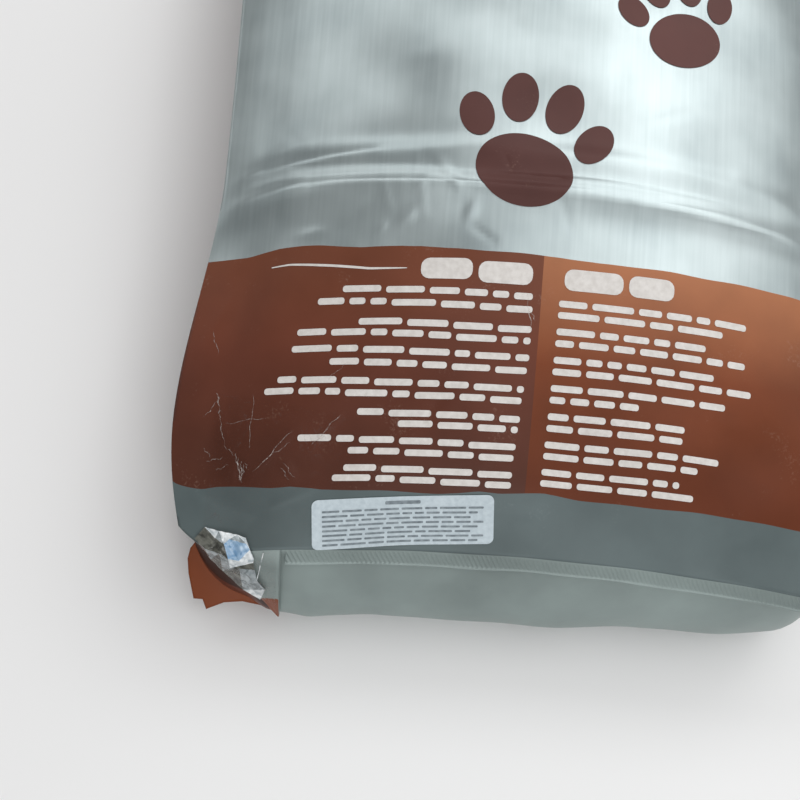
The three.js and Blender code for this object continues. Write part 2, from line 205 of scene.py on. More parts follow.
def floor_panel(across, t):
    half = half_width(t) - BOTTOM_INSET * (1 - head_fall(t))
    x = across * half
    lift = np.clip((np.abs(x) - (half - LIFT_WIDTH)) / LIFT_WIDTH, 0, 1)
    raised = (HEAD_HEIGHT - SEAL_THICKNESS) * rise(t, FLOOR_END, HEAD_AT)
    z = raised + EDGE_LIFT * lift**2 * (1 - head_fall(t))
    pushed = bulge_line(across * HALF_BASE) + BULGE_TUCK_UNDER
    return np.stack([x, t + pushed * np.exp(-t / BASE_FADE), z], -1)


# The damaged corner is pressed in between the seam and the torn tab
NOTCH_DEPTH = 4
NOTCH_END = 0.62
NOTCH_REACH = 14


def corner_notch(v):
    return NOTCH_DEPTH * np.sin(math.pi * np.clip(v / NOTCH_END, 0, 1)) ** 1.5


# A side gusset, folded inward, from the panel's edge (v = 0) to the front panel's edge (v = 1)
def gusset(side, v, t):
    top, low = panel(side * half_width(t), t), floor_panel(side + 0 * t, t)
    tuck = (SIDE_TUCK + HEAD_TUCK * np.sin(math.pi * head_part(t) ** 1.6)) * (1 - np.abs(2 * v - 1))
    wave = 0.7 * np.sin(t / 9.0) * np.sin(math.pi * v) + 0.5 * np.sin(t / 4.1 + 2) * np.sin(2 * math.pi * v)
    point = top + (low - top) * np.expand_dims(v, -1)
    point[..., 0] -= side * (tuck + wave) * smooth(t / BELLY_AT) * np.where(t < HEAD_AT, 1, 0)
    if side < 0:
        point[..., 0] += corner_notch(v) * np.exp(-t / NOTCH_REACH)
    return point


# How far the base's outline stands off an even bulge: place across the bag, push
BASE_OUTLINE = [
    (-117, 0), (-95, -1.5), (-80, -2.1), (-76, -1.8), (-72, -3.0), (-64, -1.8), (-49, 0.8), (-23, 0.8),
    (0, 0.8), (21, 1.3), (32, 2), (44, 3.3), (60, 3.3), (90, 2), (117, 0),
]
FOREMOST = 0.65
HOLLOW_DEPTH = 1.1
TUCK_DEPTH = 4.5


# The base panel, from the seam (v = 0) to the floor (v = 1), tucked in under the damaged corner
def base_panel(across, v):
    seam, low = panel(across * HALF_BASE, 0 * across), floor_panel(across, 0 * across)
    line = seam + (low - seam) * np.expand_dims(v, -1)
    part = np.where(v < FOREMOST, v / FOREMOST, (1 - v) / (1 - FOREMOST))
    swell = np.sin(math.pi / 2 * part) ** 1.5
    x = line[..., 0]
    push = sum(np.interp(x + s, *np.transpose(BASE_OUTLINE)) for s in (-3, -1.5, 0, 1.5, 3)) / 5
    ripple = 0.22 * np.cos(x / 8.5 + 1) + 0.16 * np.cos(x / 5.1)
    hollow = smooth((-68.5 - 8 * np.exp(-v / 0.15) - x) / 7) * np.sin(math.pi * np.clip(v / 0.7, 0, 1)) ** 2
    tucked = rise(x, -85, -94) * np.sin(math.pi * np.clip(v / 0.85, 0, 1))
    uneven = push + ripple + HOLLOW_DEPTH * hollow + TUCK_DEPTH * tucked
    depth = bulge_line(x) + uneven * (1 - np.abs(across) ** 20)
    line[..., 1] += (depth - line[..., 1]) * swell * (1 - np.abs(across) ** 40)
    line[..., 0] += corner_notch(v) * rise(across, -0.8, -1)
    return line


# Points, quads and material slots of a grid of points
def grid_faces(points, materials, flip=False):
    rows, columns = points.shape[:2]
    index = np.arange(rows * columns).reshape(rows, columns)
    quads = np.stack([index[:-1, :-1], index[:-1, 1:], index[1:, 1:], index[1:, :-1]], -1).reshape(-1, 4)
    materials = np.broadcast_to(materials, (rows - 1, columns - 1)).reshape(-1)
    return points.reshape(-1, 3), quads[:, ::-1] if flip else quads, materials


# One object from patches of points, faces and material slots, moved from the seam to the part's frame
def add_piece(name, patches, looks, weld=True):
    points, faces, slots, count = [], [], [], 0
    for patch_points, patch_faces, patch_slots in patches:
        points.append(patch_points)
        faces.extend((np.asarray(patch_faces) + count).tolist())
        slots.extend(np.asarray(patch_slots).tolist())
        count += len(patch_points)
    points = (np.concatenate(points) + np.array([0, SEAM_Y, 0])) * 0.001
    mesh = bpy.data.meshes.new(name)
    mesh.from_pydata(points.tolist(), [], faces)
    mesh.polygons.foreach_set("material_index", slots)
    mesh.polygons.foreach_set("use_smooth", [True] * len(faces))
    if weld:
        work = bmesh.new()
        work.from_mesh(mesh)
        bmesh.ops.remove_doubles(work, verts=work.verts, dist=2e-6)
        work.to_mesh(mesh)
        work.free()
    mesh.update()
    for look in looks:
        mesh.materials.append(look)
    piece = bpy.data.objects.new(name, mesh)
    bpy.context.scene.collection.objects.link(piece)
    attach(piece, "root")
    return piece


def colour(hex_code):
    parts = [int(hex_code[i:i + 2], 16) / 255 for i in (1, 3, 5)]
    return [c / 12.92 if c <= 0.04045 else ((c + 0.055) / 1.055) ** 2.4 for c in parts] + [1]


# A pattern's scale from the size in mm of what it draws
def per_metre(size):
    return 1000 / size


def add_node(tree, kind, settings=None, links=None):
    made = tree.nodes.new(kind)
    for key, value in (settings or {}).items():
        if key == "stops":
            while len(made.color_ramp.elements) < len(value):
                made.color_ramp.elements.new(0.5)
            for stop, (place, code) in zip(made.color_ramp.elements, value):
                stop.position, stop.color = place, colour(code)
        elif isinstance(key, int) or key in made.inputs:
            made.inputs[key].default_value = value
        else:
            setattr(made, key, value)
    for key, source in (links or {}).items():
        tree.links.new(source, made.inputs[key])
    return made


def new_material(name, **shader):
    look = bpy.data.materials.new(name)
    look.use_nodes = True
    principled = look.node_tree.nodes["Principled BSDF"]
    for key, value in shader.items():
        principled.inputs[key.replace("_", " ")].default_value = value
    return look, look.node_tree, principled


# Bare metallised film: faint lines along the bag from the rolls that coated it, a soft cloudy tone and a
# satin metal shine. The lines are too fine to show, so they are drawn 1.25 mm apart.
foil, tree, shader = new_material("metallised film", Metallic=0.85, Specular_IOR_Level=0.5)
place = add_node(tree, "ShaderNodeTexCoord").outputs["Object"]
stretch = (per_metre(1.25), per_metre(41.7), per_metre(16.7))
lines = add_node(tree, "ShaderNodeMapping", {"Scale": stretch}, {"Vector": place}).outputs["Vector"]
streak = add_node(tree, "ShaderNodeTexNoise", {"Scale": 1, "Detail": 3}, {"Vector": lines}).outputs["Fac"]
clouds = {"Scale": per_metre(38.5), "Detail": 3}
cloud = add_node(tree, "ShaderNodeTexNoise", clouds, {"Vector": place}).outputs["Fac"]
adding = {"operation": "MULTIPLY_ADD", 1: 0.25}
blend = add_node(tree, "ShaderNodeMath", adding, {0: streak, 2: cloud}).outputs[0]
tones = {"stops": [(0.4, "#9aa5a7"), (0.62, "#adb8b9"), (0.85, "#bdc8c9")]}
tone = add_node(tree, "ShaderNodeValToRGB", tones, {"Fac": blend}).outputs["Color"]
tree.links.new(tone, shader.inputs["Base Color"])
gloss = add_node(tree, "ShaderNodeMapRange", {"To Min": 0.28, "To Max": 0.42}, {"Value": cloud})
tree.links.new(gloss.outputs["Result"], shader.inputs["Roughness"])
bump = add_node(tree, "ShaderNodeBump", {"Strength": 0.04, "Distance": 0.0002}, {"Height": streak})
tree.links.new(bump.outputs["Normal"], shader.inputs["Normal"])


# Gravure ink on the film: a satin coat that runs from one tone at the base end to another further up,
# cloudy, and rubbed lighter in specks where the film was scuffed
def ink(name, low, mid, high, scuff, metal=0.08, rubbed="#a88c7c"):
    look, tree, shader = new_material(name, Metallic=metal, Specular_IOR_Level=0.22)
    place = add_node(tree, "ShaderNodeTexCoord").outputs["Object"]
    along = add_node(tree, "ShaderNodeSeparateXYZ", links={0: place}).outputs["Y"]
    span = {"From Min": (SEAM_Y + 25) * 0.001, "From Max": (SEAM_Y + 108) * 0.001}
    part = add_node(tree, "ShaderNodeMapRange", span, {"Value": along}).outputs["Result"]
    tones = {"stops": [(0.1, low), (0.55, mid), (1, high)]}
    tone = add_node(tree, "ShaderNodeValToRGB", tones, {"Fac": part}).outputs["Color"]
    clouds = {"Scale": per_metre(33.3), "Detail": 4}
    cloud = add_node(tree, "ShaderNodeTexNoise", clouds, {"Vector": place}).outputs["Fac"]
    dimming = {"From Min": 0.3, "From Max": 0.7, "To Min": 0.84, "To Max": 1.14}
    shade = add_node(tree, "ShaderNodeMapRange", dimming, {"Value": cloud}).outputs["Result"]
    cloudy = add_node(tree, "ShaderNodeHueSaturation", links={"Value": shade, "Color": tone}).outputs["Color"]
    specks = {"Scale": per_metre(1.11), "Detail": 4, "Roughness": 0.7}
    grain = add_node(tree, "ShaderNodeTexNoise", specks, {"Vector": place}).outputs["Fac"]
    spots = {"Scale": per_metre(14.3), "Detail": 2}
    patch = add_node(tree, "ShaderNodeTexNoise", spots, {"Vector": place}).outputs["Fac"]
    rub = add_node(tree, "ShaderNodeMath", {"operation": "MULTIPLY"}, {0: grain, 1: patch}).outputs[0]
    wear = {"From Min": 0.36, "From Max": 0.5, "To Max": scuff}
    worn = add_node(tree, "ShaderNodeMapRange", wear, {"Value": rub}).outputs["Result"]
    mixed = add_node(tree, "ShaderNodeMix", {"data_type": "RGBA", 7: colour(rubbed)}, {0: worn, 6: cloudy})
    tree.links.new(mixed.outputs[2], shader.inputs["Base Color"])
    gloss = add_node(tree, "ShaderNodeMapRange", {"To Min": 0.32, "To Max": 0.5}, {"Value": cloud})
    tree.links.new(gloss.outputs["Result"], shader.inputs["Roughness"])
    bump = add_node(tree, "ShaderNodeBump", {"Strength": 0.08, "Distance": 0.0002}, {"Height": grain})
    tree.links.new(bump.outputs["Normal"], shader.inputs["Normal"])
    return look


brown_ink = ink("dark brown ink on film", "#512c20", "#643526", "#74422e", 0.3)
tan_ink = ink("light brown ink on film", "#602d16", "#753b1f", "#a86d4b", 0.2)
gusset_ink = ink("gusset brown ink on film", "#5d3122", "#5d3122", "#5d3224", 0.12)
# Painted shade: the gusset brown darkened to near black, for the base corner that lies in shadow under the
# folded ear
fold_shade_ink = ink("gusset brown ink, painted shade in the fold", "#33180f", "#33180f", "#33180f", 0.2)
dark_grey = ink("dark grey ink on film", "#5b6667", "#5b6667", "#5b6667", 0.25, 0.25, "#7b8587")
mid_grey = ink("grey ink on film", "#8b9795", "#8b9795", "#8b9795", 0.2, 0.3, "#939d9c")
FOIL, BROWN, TAN, GUSSET, DARK_GREY, MID_GREY, FOLD_SHADE = range(7)

# The brown fields lie between two edges along the bag and meet on its centre line
LOW_EDGE = 23.3
HIGH_EDGE = 106.6
EDGE_SPREAD = 7
# How far the fields' edges wander along the bag: place across it, shift
LOW_WANDER = [
    (-120, -4.4), (-118.3, -4), (-115.6, -3.3), (-112.9, -2.7), (-110.2, -2.2), (-107.5, -1.3),
    (-104.8, -0.7), (-87, -0.9), (-80, -0.4), (-69.6, -1.6), (-42.6, -1.6), (-29, -1.3), (-22, -0.7),
    (-15.5, 0.3), (-8.8, 0), (6.4, 0.9), (18, 0),
]
HIGH_WANDER = [
    (-117, -1.5), (-107.3, -1.3), (-101.8, -1), (-96.4, 0), (-91, 0.7), (-76, 0.7), (-62.4, 0),
    (-48.8, 1), (-42, 1), (-33, 0.1), (-20, -0.2), (5.6, 0), (19, -1),
]
# Rows and columns of the skin, closer where the camera is near
columns = np.unique(np.concatenate([
    np.linspace(-1, 0, 92), np.linspace(0, 0.36, 34), np.linspace(0.36, 1, 30),
]))
rows = np.unique(np.concatenate([
    np.linspace(0, LOW_EDGE, 19), np.linspace(LOW_EDGE, HIGH_EDGE, 66), np.linspace(HIGH_EDGE, 172, 50),
    np.linspace(172, HEAD_AT, 75), np.linspace(HEAD_AT, SEAM_TO_TOP, 6),
]))
middle_row, middle_column = (rows[:-1] + rows[1:]) / 2, (columns[:-1] + columns[1:]) / 2
in_fields = ((middle_row > LOW_EDGE) & (middle_row < HIGH_EDGE))[:, None]
field_slots = np.where(middle_column[None, :] < 0, BROWN, TAN)
print_slots = np.where(in_fields, field_slots, np.where(middle_row[:, None] < LOW_EDGE, DARK_GREY, FOIL))
T, A = np.meshgrid(rows, columns, indexing="ij")
film_x = A * half_width(T)
ripple = 0.22 * np.sin(A * 13 + 1) + 0.14 * np.sin(A * 29)
near_low = np.exp(-(((T - LOW_EDGE) / EDGE_SPREAD) ** 2))
near_high = np.exp(-(((T - HIGH_EDGE) / EDGE_SPREAD) ** 2))
T = T + (np.interp(film_x, *np.transpose(LOW_WANDER)) + ripple) * near_low
T = T + (np.interp(film_x, *np.transpose(HIGH_WANDER)) - ripple) * near_high
depths = np.linspace(0, 1, 21)
GT, GV = np.meshgrid(rows, depths, indexing="ij")
BV, BA = np.meshgrid(depths, columns, indexing="ij")
# Left corner of the base: painted shade from the seam to 0.6 of the way down, under the folded ear, gusset
# brown below it
corner_slots = np.where(depths[:-1, None] < 0.6, FOLD_SHADE, GUSSET)
base_slots = np.where(middle_column[None, :] < -0.715, corner_slots, MID_GREY)
top, low = panel(A * half_width(T), T), floor_panel(A, T)
bag = add_piece("bag_film", [
    grid_faces(top, print_slots),
    grid_faces(low, FOIL, flip=True),
    grid_faces(gusset(1, GV, GT), GUSSET),
    grid_faces(gusset(-1, GV, GT), GUSSET, flip=True),
    grid_faces(base_panel(BA, BV), base_slots, flip=True),
    grid_faces(np.stack([top[-1], low[-1]]), FOIL, flip=True),
], [foil, brown_ink, tan_ink, gusset_ink, dark_grey, mid_grey, fold_shade_ink])
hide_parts("bag")

# The base seam: back panel and base film heat-sealed face to face, a fin that leans out over the base.
# The sealing bar leaves fine slanting ribs across it and a bead along its free edge.
FIN_WIDTH = 6.6
FIN_START = -79.5
FIN_STOP = 115.5
FIN_ABOVE = 0.3
FIN_BELOW = 0.6
FIN_LEAN = 46
RIB_PITCH = 1.6
RIB_HEIGHT = 0.2
BEAD_HEIGHT = 0.35
FIN_ROOT = (0.45, -0.3)
FD, FX = np.meshgrid(np.linspace(0, 1, 22), np.linspace(FIN_START, FIN_STOP, 760), indexing="ij")
reach = FIN_WIDTH * np.minimum(1, 0.3 + (HALF_BASE - FX) / CORNER_RADIUS)
lean = np.radians(FIN_LEAN + 2 * np.sin(FX / 11) + 1.5 * np.sin(FX / 4.7 + 1))
rib = RIB_HEIGHT * np.sin(2 * math.pi * (FX - 0.5 * FD * reach) / RIB_PITCH)
rib = rib * np.sin(math.pi * np.clip(FD * 1.12, 0, 1)) ** 0.4
bead = BEAD_HEIGHT * np.exp(-(((FD - 0.95) / 0.06) ** 2))
fall_y = FIN_ROOT[0] - FD * reach * np.cos(lean)
fall_z = FIN_ROOT[1] - FD * reach * np.sin(lean)
fin_seal = panel(FX, 0 * FX) + np.stack([0 * FX, fall_y, fall_z], -1)
fin_out = np.stack([0 * FX, -np.sin(lean), np.cos(lean)], -1)
fin_low = fin_seal - FIN_BELOW * fin_out
fin_top = fin_seal + (FIN_ABOVE + rib + bead)[..., None] * fin_out
fin = add_piece("base_seam_fin", [
    grid_faces(fin_top, 0, flip=True),
    grid_faces(fin_low, 0),
    grid_faces(np.stack([fin_top[-1], fin_low[-1]]), 0, flip=True),
    grid_faces(np.stack([fin_top[:, 0], fin_low[:, 0]]), 0),
    grid_faces(np.stack([fin_top[:, -1], fin_low[:, -1]]), 0, flip=True),
], [mid_grey])

# The folded ear: the panel's loose corner, grey printed film, folded down over the base at the seam.
# It narrows to a tip that shows the brown of the torn film, painted lighter and more orange than the gusset
# ink as painted light.
# Painted light: a lighter, more orange copy of the gusset brown, for the ear's tip and the torn tab where
# they stand in light
lit_gusset_ink = ink("gusset brown ink, painted lighter as if lit", "#7c3d1c", "#7c3d1c", "#7c3d1c", 0.12)
EAR_OUTER = -116
EAR_INNER = -81
EAR_TIP = np.array([EAR_INNER, -14.7, 17.0])
EAR_TIP_WIDTH = 0.5
EAR_THICKNESS = 0.5
EAR_OUTER_BOW = [1, 1, 0]
EAR_INNER_BOW = [0, -6, 12]


def bezier(a, p0, p1, p2):
    a = np.expand_dims(a, -1)
    return p0 * (1 - a) ** 2 + 2 * p1 * a * (1 - a) + p2 * a**2


# A point of the ear: a runs from the seam to the tip, b from the outer edge to the inner edge
def ear(a, b):
    outer, inner = panel(EAR_OUTER, 0), panel(EAR_INNER, 0)
    outer_bow = outer + (EAR_TIP - outer) * 0.45 + EAR_OUTER_BOW
    inner_bow = inner + (EAR_TIP - inner) * 0.5 + EAR_INNER_BOW
    part = np.expand_dims(b, -1)
    root = panel(EAR_OUTER + (EAR_INNER - EAR_OUTER) * b, 0 * b)
    end = EAR_TIP - [EAR_TIP_WIDTH, 0, 0] * (1 - part)
    return bezier(a, root, outer_bow + (inner_bow - outer_bow) * part, end)


# Unit normals of a grid of points
def grid_normals(points, first, second):
    normals = np.cross(np.gradient(points, axis=first), np.gradient(points, axis=second))
    return normals / np.maximum(np.linalg.norm(normals, axis=-1, keepdims=True), 1e-9)


EA, EB = np.meshgrid(np.linspace(0, 1, 60), np.linspace(0, 1, 50), indexing="ij")
ear_face = ear(EA, EB)
ear_out = grid_normals(ear_face, 0, 1)
dent = 0.3 * np.sin(9 * EA + 5 * EB) * np.sin(7 * EB - 3 * EA + 1) * np.sin(math.pi * EA)
ear_face = ear_face + dent[..., None] * ear_out
ear_rear = ear_face - EAR_THICKNESS * ear_out
ear_slots = np.where(EA[:-1, :-1] > 0.8 - 0.175 * EB[:-1, :-1], 1, 0)
folded_ear = add_piece("folded_ear", [
    grid_faces(ear_face, ear_slots, flip=True),
    grid_faces(ear_rear, 0),
    grid_faces(np.stack([ear_face[:, 0], ear_rear[:, 0]]), 0),
    grid_faces(np.stack([ear_face[:, -1], ear_rear[:, -1]]), 0, flip=True),
], [mid_grey, lit_gusset_ink])

# The torn tab: a flap of gusset film that was ripped loose below the ear and sticks out past the corner.
# It lies nearly flat, and its outline runs along the tear.
TAB_OUTLINE = np.array([
    (-112.9, 9.2), (-114.8, 6.8), (-115.6, 3.3), (-115, -1.7), (-112.7, -10), (-109.4, -10), (-107.9, -13.3),
    (-101.6, -10.6), (-94.9, -9.7), (-86, -10.7),
])
TAB_ROOT = np.array([-97, 12])
TAB_HEIGHT = 11
TAB_SLOPE = 0.6
TAB_THICKNESS = 0.4
TAB_DEPTH = 0.75
corners = np.arange(len(TAB_OUTLINE))
spots = np.linspace(0, corners[-1], 73)
tear = np.stack([np.interp(spots, corners, TAB_OUTLINE[:, i]) for i in range(2)], -1)
tab_plan = tear + (TAB_ROOT - tear) * np.linspace(0, TAB_DEPTH, 24)[:, None, None]
tab_z = TAB_HEIGHT + TAB_SLOPE * (tab_plan[..., 1] + 12) + 0.7 * np.sin((tab_plan[..., 0] + 115) / 8)
tab_face = np.concatenate([tab_plan, tab_z[..., None]], -1)
tab_rear = tab_face - [0, 0, TAB_THICKNESS]
# The tab's brown is the painted-light copy of the gusset brown
torn_tab = add_piece("torn_tab", [
    grid_faces(tab_face, 0),
    grid_faces(tab_rear, 0, flip=True),
    grid_faces(np.stack([tab_face[0], tab_rear[0]]), 0, flip=True),
], [lit_gusset_ink])

# White print on the back panel: rows of plain bars with round ends, four larger bars and a tapered rule.
# It is flat ink on the film, so each bar follows the panel just off its surface.
INK_LIFT = 0.12
BAR_HEIGHT = 2.3
LARGE_BAR = 7.4
BAR_GAP = 1.7
LEFT_SLOPE = 0.03
RULE_WIDTH = 0.9
# White ink: an opaque satin coat, a little patchy where it lies thin on the film
white_ink, tree, shader = new_material("white ink on film", Roughness=0.42, Specular_IOR_Level=0.4)
place = add_node(tree, "ShaderNodeTexCoord").outputs["Object"]
patches = {"Scale": per_metre(2), "Detail": 3}
patchy = add_node(tree, "ShaderNodeTexNoise", patches, {"Vector": place}).outputs["Fac"]
tones = {"stops": [(0.3, "#cbc6c1"), (0.7, "#dcd8d4")]}
tone = add_node(tree, "ShaderNodeValToRGB", tones, {"Fac": patchy}).outputs["Color"]
tree.links.new(tone, shader.inputs["Base Color"])


# Places along a bar with round ends, and half its height at each of them
def round_ends(start, stop, tall, radius, turns, steps):
    curve = [radius * (1 - math.cos(k * math.pi / 2 / turns)) for k in range(turns + 1)]
    straight = list(np.linspace(start + radius, stop - radius, steps)[1:-1])
    spots = np.array([start + c for c in curve] + straight + [stop - c for c in curve[::-1]])
    past = np.maximum(0, np.maximum(start + radius - spots, spots - (stop - radius)))
    return spots, tall / 2 - radius + np.sqrt(np.maximum(radius**2 - past**2, 0)) + 1e-3


def rounded_bar(x0, x1, t, tall, slope):
    radius = min(tall * 0.4, (x1 - x0) * 0.4)
    xs, half = round_ends(x0, x1, tall, radius, 4, max(3, int((x1 - x0) / 1.2)))
    side = np.linspace(-1, 1, 4)[:, None]
    ts = t + slope * (xs[None] - x1) + side * half[None]
    return grid_faces(off_panel(xs[None] + 0 * side, ts, INK_LIFT), 0)


bars = []
bar_lengths = np.random.default_rng(5)


def bar_row(x0, x1, t, slope):
    x = x0
    while x < x1 - 2:
        stop = min(x1, x + bar_lengths.uniform(5, 15))
        if x1 - stop < 4:
            stop = x1
        bars.append(rounded_bar(x, stop, t, BAR_HEIGHT, slope))
        x = stop + BAR_GAP


# Rows in the dark field: start, stop, place along the bag
LEFT_ROWS = [
    (-67.5, -2.9, 92), (-75.7, -2.7, 87.5), (-61.2, -2.5, 80.7), (-81.9, -2.5, 76.8), (-83.3, -2.5, 71),
    (-70, -3, 66.5), (-87.3, -3.5, 60), (-91.5, -4, 56), (-59.2, -4, 49.6), (-45.1, -4.4, 46),
    (-78.7, -4.6, 40), (-61.3, -5, 36), (-62.3, -5, 30), (-65.9, -5, 26.4),
]
for x0, x1, t in LEFT_ROWS:
    bar_row(x0, x1, t, LEFT_SLOPE)
# Pairs of rows in the lighter field, one pair below another
PAIR_PITCH = 9.7
for k in range(7):
    bar_row(6.2 - 0.2 * k, 6 + bar_lengths.uniform(45, 85), 90.4 - PAIR_PITCH * k, 0.0)
    bar_row(6.1 - 0.2 * k, 6 + bar_lengths.uniform(30, 75), 86.4 - PAIR_PITCH * k, 0.0)
LARGE_BARS = [(-41.5, -24, 99.9, 0.02), (-22, -3.4, 99.5, 0.02), (7.6, 28, 99, 0), (30, 46, 99, 0)]
for x0, x1, t, slope in LARGE_BARS:
    bars.append(rounded_bar(x0, x1, t, LARGE_BAR, slope))
# The rule wavers a little and tapers to both ends
RULE = [(-93, 100.5), (-86.6, 101), (-72.6, 100), (-59, 99), (-46.3, 99.5)]
rule_x = np.linspace(RULE[0][0], RULE[-1][0], 40)
rule_t = np.interp(rule_x, *np.transpose(RULE))
rule_w = RULE_WIDTH / 2 * np.sin(math.pi * np.linspace(0.06, 0.97, 40)) ** 0.5
rule_sides = np.stack([rule_t - rule_w, rule_t + rule_w])
bars.append(grid_faces(off_panel(np.stack([rule_x, rule_x]), rule_sides, INK_LIFT), 0))
printed_bars = add_piece("printed_bars", bars, [white_ink], weld=False)

# Scratches: thin strokes where handling rubbed the ink off the film, most of them in the taped corner.
# Each is a tapered strip that wavers a little and lies just off the film.
SCRATCH_LIFT = 0.16
# Film scratched bare: pale and dull, broken up along the stroke so that the ink shows through
bare, tree, shader = new_material("film scratched bare", Roughness=0.4, Metallic=0.3)
place = add_node(tree, "ShaderNodeTexCoord").outputs["Object"]
breaks = {"Scale": per_metre(1.11), "Detail": 3}
broken = add_node(tree, "ShaderNodeTexNoise", breaks, {"Vector": place}).outputs["Fac"]
tones = {"stops": [(0.3, "#b9aaa2"), (0.7, "#d8d0cb")]}
tone = add_node(tree, "ShaderNodeValToRGB", tones, {"Fac": broken}).outputs["Color"]
tree.links.new(tone, shader.inputs["Base Color"])
thinning = {"From Min": 0.35, "From Max": 0.65, "To Min": 0.12, "To Max": 0.62}
thin = add_node(tree, "ShaderNodeMapRange", thinning, {"Value": broken}).outputs["Result"]
tree.links.new(thin, shader.inputs["Alpha"])
# x and t of both ends, width
SCRATCHES = [
    (-108.1, 56, -106.9, 51, 0.55), (-106.9, 51, -106.3, 47, 0.4), (-106.3, 47, -103.6, 37, 0.22),
    (-103.6, 37, -99.7, 33.5, 0.2), (-98.7, 32.5, -97.3, 25, 0.4), (-97.2, 31.5, -96.7, 24.5, 0.5),
    (-96.1, 30.5, -96.8, 24, 0.3), (-99.7, 34, -97.6, 28.5, 0.35), (-95.9, 31, -94.8, 28.5, 0.25),
    (-92.8, 27.5, -80.5, 42.5, 0.22), (-73.7, 37, -64.8, 48, 0.3), (-95, 55, -95.1, 36, 0.18),
    (-82.8, 31, -78.6, 25.5, 0.2), (-83.4, 29.5, -80.6, 25, 0.18), (-112, 47, -107.5, 53.5, 0.2),
    (-111, 36, -108, 33, 0.2), (-109.5, 31.5, -104, 33, 0.2), (-106, 28.5, -101.5, 30.5, 0.2),
    (-104, 45, -90, 46.5, 0.15), (-88, 33, -81, 38, 0.15), (-5, 93, -2.5, 80, 0.25), (-4, 88, -1.5, 84, 0.3),
    (-112, 78, -109, 70, 0.18), (-70, 60, -64, 66, 0.15),
]
strokes = []
part = np.linspace(0, 1, 24)
for x0, t0, x1, t1, wide in SCRATCHES:
    slim = wide / 2 * np.sin(math.pi * (0.04 + 0.92 * part)) ** 0.7
    run = math.hypot(x1 - x0, t1 - t0)
    nx, nt = -(t1 - t0) / run, (x1 - x0) / run
    waver = 0.25 * np.sin(part * 9 + x0) + 0.12 * np.sin(part * 21 + t0)
    xs, ts = x0 + (x1 - x0) * part + nx * waver, t0 + (t1 - t0) * part + nt * waver
    sides_x, sides_t = np.stack([xs + nx * slim, xs - nx * slim]), np.stack([ts + nt * slim, ts - nt * slim])
    strokes.append(grid_faces(off_panel(sides_x, sides_t, SCRATCH_LIFT), 0))
scratches = add_piece("scratches", strokes, [bare], weld=False)

# Paw prints: a plain motif in dark ink on the silver film, each a pad and four toes.
# They are flat print, so their ovals follow the panel just off its surface.
PAW_LIFT = 0.25
paw_ink = ink("paw print ink on film", "#432826", "#4c2e2b", "#573632", 0.2)


def oval(cx, ct, rx, rt, turn):
    r, a = np.meshgrid(np.linspace(0.001, 1, 20), np.linspace(0, 2 * math.pi, 73), indexing="ij")
    u, v = rx * r * np.cos(a), rt * r * np.sin(a)
    x = cx + u * math.cos(turn) - v * math.sin(turn)
    t = ct + u * math.sin(turn) + v * math.cos(turn)
    return grid_faces(off_panel(x, t, PAW_LIFT), 0)


# Place, size and turn of each print; then place, radii and turn of its pad and toes
PAWS = [(-8, 140, 1.0, -0.2), (46, 196, 0.8, 0.25), (-34, 236, 0.8, -0.15)]
PAD_AND_TOES = [
    (0, -4, 17, 13, 0), (-21, 12, 6, 8.5, 0.45), (-8, 22, 6.4, 9.5, 0.12), (8, 22, 6.4, 9.5, -0.12),
    (21, 12, 6, 8.5, -0.45),
]
ovals = []
for px, pt, size, turn in PAWS:
    for ox, ot, rx, rt, tip in PAD_AND_TOES:
        mx = px + size * (ox * math.cos(turn) - ot * math.sin(turn))
        mt = pt + size * (ox * math.sin(turn) + ot * math.cos(turn))
        ovals.append(oval(mx, mt, rx * size, rt * size, tip + turn))
paws = add_piece("printed_paws", ovals, [paw_ink], weld=False)

# The label: a white coated-paper sticker with rounded corners, put on by hand a little crooked.
# Rows of short grey bars are printed on it.
LABEL_WIDTH = 62
LABEL_HEIGHT = 18
LABEL_RADIUS = 2.2
LABEL_X = -40.5
LABEL_UP = 11.3
LABEL_TURN = math.radians(4.6)
LABEL_LIFT = 0.45
LABEL_INK_LIFT = 0.56
LABEL_BAR = 0.72
LABEL_PITCH = 1.72
# Coated paper: bright, matt and a little mottled by its fibres. They are too fine to show,
# so they are drawn 1.4 mm coarse.
paper, tree, shader = new_material("coated label paper", Roughness=0.55, Specular_IOR_Level=0.35)
place = add_node(tree, "ShaderNodeTexCoord").outputs["Object"]
fibres = {"Scale": per_metre(1.43), "Detail": 4}
fibre = add_node(tree, "ShaderNodeTexNoise", fibres, {"Vector": place}).outputs["Fac"]
tones = {"stops": [(0.3, "#b6c3ca"), (0.7, "#c6d2d8")]}
tone = add_node(tree, "ShaderNodeValToRGB", tones, {"Fac": fibre}).outputs["Color"]
tree.links.new(tone, shader.inputs["Base Color"])
bump = add_node(tree, "ShaderNodeBump", {"Strength": 0.15, "Distance": 0.0001}, {"Height": fibre})
tree.links.new(bump.outputs["Normal"], shader.inputs["Normal"])
# Thermal print: flat grey that has faded unevenly
thermal_grey, tree, shader = new_material("grey print on paper", Roughness=0.6)
place = add_node(tree, "ShaderNodeTexCoord").outputs["Object"]
fading = {"Scale": per_metre(1.67), "Detail": 2}
faded = add_node(tree, "ShaderNodeTexNoise", fading, {"Vector": place}).outputs["Fac"]
tones = {"stops": [(0.3, "#626d74"), (0.7, "#8b969c")]}
tone = add_node(tree, "ShaderNodeValToRGB", tones, {"Fac": faded}).outputs["Color"]
tree.links.new(tone, shader.inputs["Base Color"])


